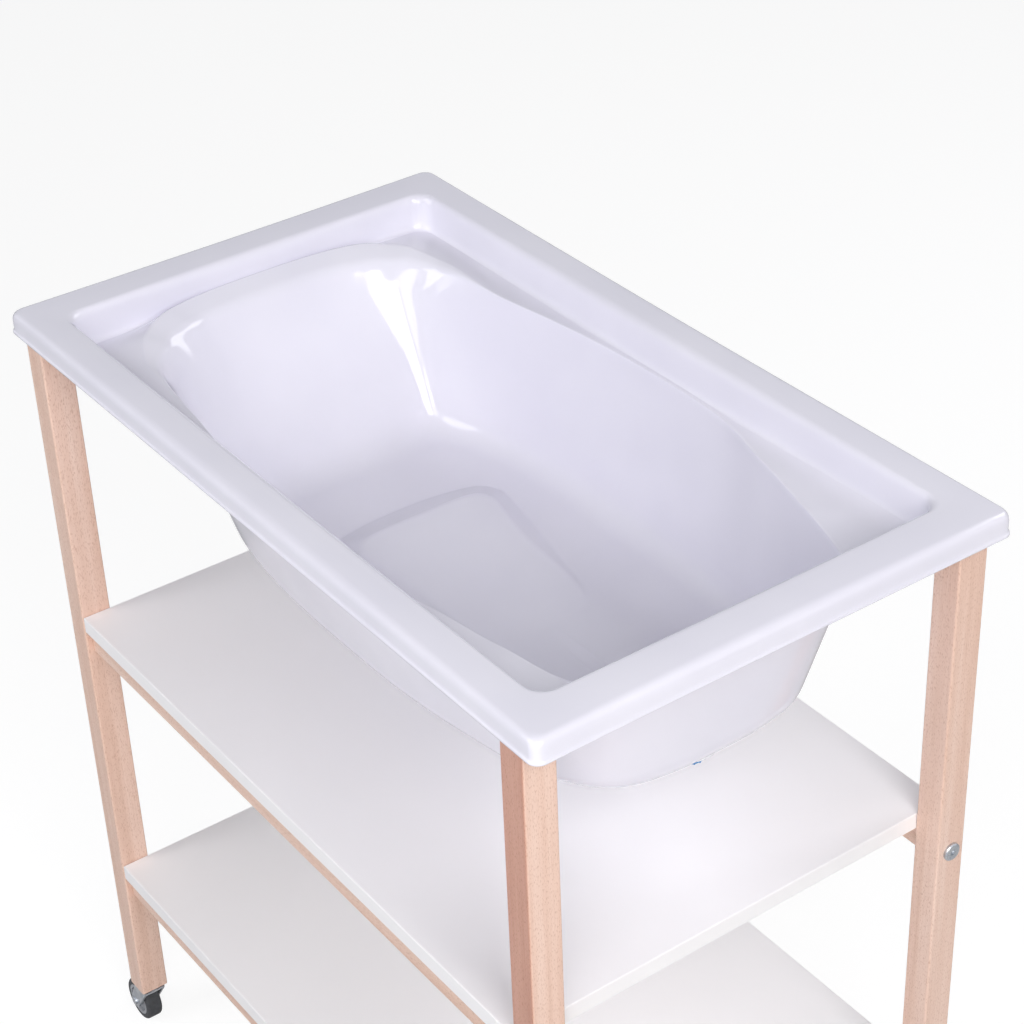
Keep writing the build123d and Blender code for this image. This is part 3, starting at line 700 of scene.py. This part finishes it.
def make_bathtub():
    """The bathtub as one closed mesh over its rings. The first and last ring are single points."""
    rings = bathtub_rings()
    count = len(rings[0])
    points = [rings[0][0] * MM]
    for line in rings[1:-1]:
        points.extend(p * MM for p in line)
    points.append(rings[-1][0] * MM)
    faces = []
    for i in range(count):
        faces.append((0, 1 + i, 1 + (i + 1) % count))
    for row in range(len(rings) - 3):
        first, second = 1 + row * count, 1 + (row + 1) * count
        for i in range(count):
            j = (i + 1) % count
            faces.append((first + i, second + i, second + j, first + j))
    last = len(points) - 1
    first = 1 + (len(rings) - 3) * count
    for i in range(count):
        faces.append((last, first + (i + 1) % count, first + i))
    mesh = bpy.data.meshes.new("bathtub_moulding")
    mesh.from_pydata([tuple(p) for p in points], [], faces)
    mesh.validate()
    piece = bpy.data.objects.new("bathtub_moulding", mesh)
    bpy.context.scene.collection.objects.link(piece)
    return piece


def cut_hole(piece, centre, radius, half_depth):
    """A round hole through a piece, cut with a scratch cylinder that is deleted again."""
    bpy.ops.mesh.primitive_cylinder_add(
        vertices=drain_hole_steps, radius=radius, depth=2 * half_depth, location=centre)
    cutter = bpy.context.object
    cut = piece.modifiers.new("cut", "BOOLEAN")
    cut.operation = "DIFFERENCE"
    cut.solver = "EXACT"
    cut.object = cutter
    bpy.context.view_layer.objects.active = piece
    bpy.ops.object.modifier_apply(modifier="cut")
    bpy.data.objects.remove(cutter, do_unlink=True)


bathtub = make_bathtub()
drain_centre = (drain_x * MM, 0, (rim_top - bowl_depth) * MM)
cut_hole(bathtub, drain_centre, drain_hole * MM, drain_cut_reach * MM)
for face in bathtub.data.polygons:
    face.use_smooth = True
bathtub.data.materials.append(bath_white)
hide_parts("bathtub")
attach(bathtub, "tub")


# Stage: floor, world and lamps

floor_half = 9.0
floor_glow = 1.16
floor_glow_share = 0.75
surround_as_light = 0.1
surround_as_seen = 1.0
surround_hue = (0.93, 0.94, 1.0, 1)
white = (1, 1, 1)


def make_floor():
    """A pale floor that looks white to the camera and keeps the table's shadow."""
    mesh = bpy.data.meshes.new("floor")
    corners = [(x * floor_half, y * floor_half, 0) for x, y in ((-1, -1), (1, -1), (1, 1), (-1, 1))]
    mesh.from_pydata(corners, [], [(0, 1, 2, 3)])
    floor = bpy.data.objects.new("floor", mesh)
    bpy.context.scene.collection.objects.link(floor)
    material = bpy.data.materials.new("floor_white")
    material.use_nodes = True
    tree = material.node_tree
    surface = tree.nodes["Principled BSDF"]
    surface.inputs["Base Color"].default_value = (0.8, 0.8, 0.8, 1)
    surface.inputs["Roughness"].default_value = 0.9
    surface.inputs["Specular IOR Level"].default_value = 0.1
    glow = tree.nodes.new("ShaderNodeEmission")
    glow.inputs["Strength"].default_value = floor_glow
    blend = tree.nodes.new("ShaderNodeMixShader")
    path = tree.nodes.new("ShaderNodeLightPath")
    share = tree.nodes.new("ShaderNodeMath")
    share.operation = "MULTIPLY"
    share.inputs[1].default_value = floor_glow_share
    tree.links.new(path.outputs["Is Camera Ray"], share.inputs[0])
    tree.links.new(share.outputs[0], blend.inputs[0])
    tree.links.new(surface.outputs[0], blend.inputs[1])
    tree.links.new(glow.outputs[0], blend.inputs[2])
    tree.links.new(blend.outputs[0], tree.nodes["Material Output"].inputs["Surface"])
    mesh.materials.append(material)


def make_world():
    """An even pale surround: white to the camera, pale blue in gloss, and dim as light."""
    world = bpy.data.worlds.new("studio")
    bpy.context.scene.world = world
    world.use_nodes = True
    tree = world.node_tree
    background = tree.nodes["Background"]
    path = tree.nodes.new("ShaderNodeLightPath")

    def either(first, second):
        larger = tree.nodes.new("ShaderNodeMath")
        larger.operation = "MAXIMUM"
        tree.links.new(first, larger.inputs[0])
        tree.links.new(second, larger.inputs[1])
        return larger.outputs[0]

    seen = either(path.outputs["Is Camera Ray"], path.outputs["Is Transmission Ray"])
    hue = tree.nodes.new("ShaderNodeMix")
    hue.data_type = "RGBA"
    hue.inputs[6].default_value = surround_hue
    hue.inputs[7].default_value = (*white, 1)
    tree.links.new(seen, hue.inputs[0])
    tree.links.new(hue.outputs[2], background.inputs["Color"])
    level = tree.nodes.new("ShaderNodeMapRange")
    level.inputs["To Min"].default_value = surround_as_light
    level.inputs["To Max"].default_value = surround_as_seen
    tree.links.new(either(seen, path.outputs["Is Glossy Ray"]), level.inputs["Value"])
    tree.links.new(level.outputs["Result"], background.inputs["Strength"])


def make_lamp(name, place, target, size, power, colour):
    """A rectangular soft lamp that faces a target."""
    data = bpy.data.lights.new(name, "AREA")
    data.shape = "RECTANGLE"
    data.size, data.size_y = size
    data.energy = power
    data.color = colour
    lamp = bpy.data.objects.new(name, data)
    bpy.context.scene.collection.objects.link(lamp)
    lamp.location = place
    lamp.rotation_euler = (Vector(target) - Vector(place)).to_track_quat("-Z", "Y").to_euler()


# Name, place, target's height, size, power and colour
lamps = (
    ("key", (2.7, -0.7, 2.6), 0.7, (1.4, 1.4), 45, (1.0, 0.99, 0.985)),
    ("key_side", (3.2, -1.0, 1.6), 0.7, (1.4, 1.8), 14, white),
    ("window", (2.6, -2.2, 1.5), 0.8, (0.5, 1.5), 17, white),
    ("front_corner", (2.0, -2.0, 2.8), 0.8, (1.2, 1.2), 16, white),
    ("left_high", (-0.3, -2.6, 2.7), 0.8, (1.6, 1.6), 30, (0.96, 0.975, 1.0)),
    ("left", (-1.2, -3.2, 1.5), 0.7, (1.6, 1.6), 14, (0.94, 0.96, 1.0)),
    ("back_high", (0.3, 2.6, 2.7), 0.8, (1.6, 1.6), 34, (0.96, 0.97, 1.0)),
)

make_floor()
make_world()
for name, place, height, size, power, colour in lamps:
    make_lamp(name, place, (0, 0, height), size, power, colour)

scene = bpy.context.scene
scene.view_settings.view_transform = "Standard"
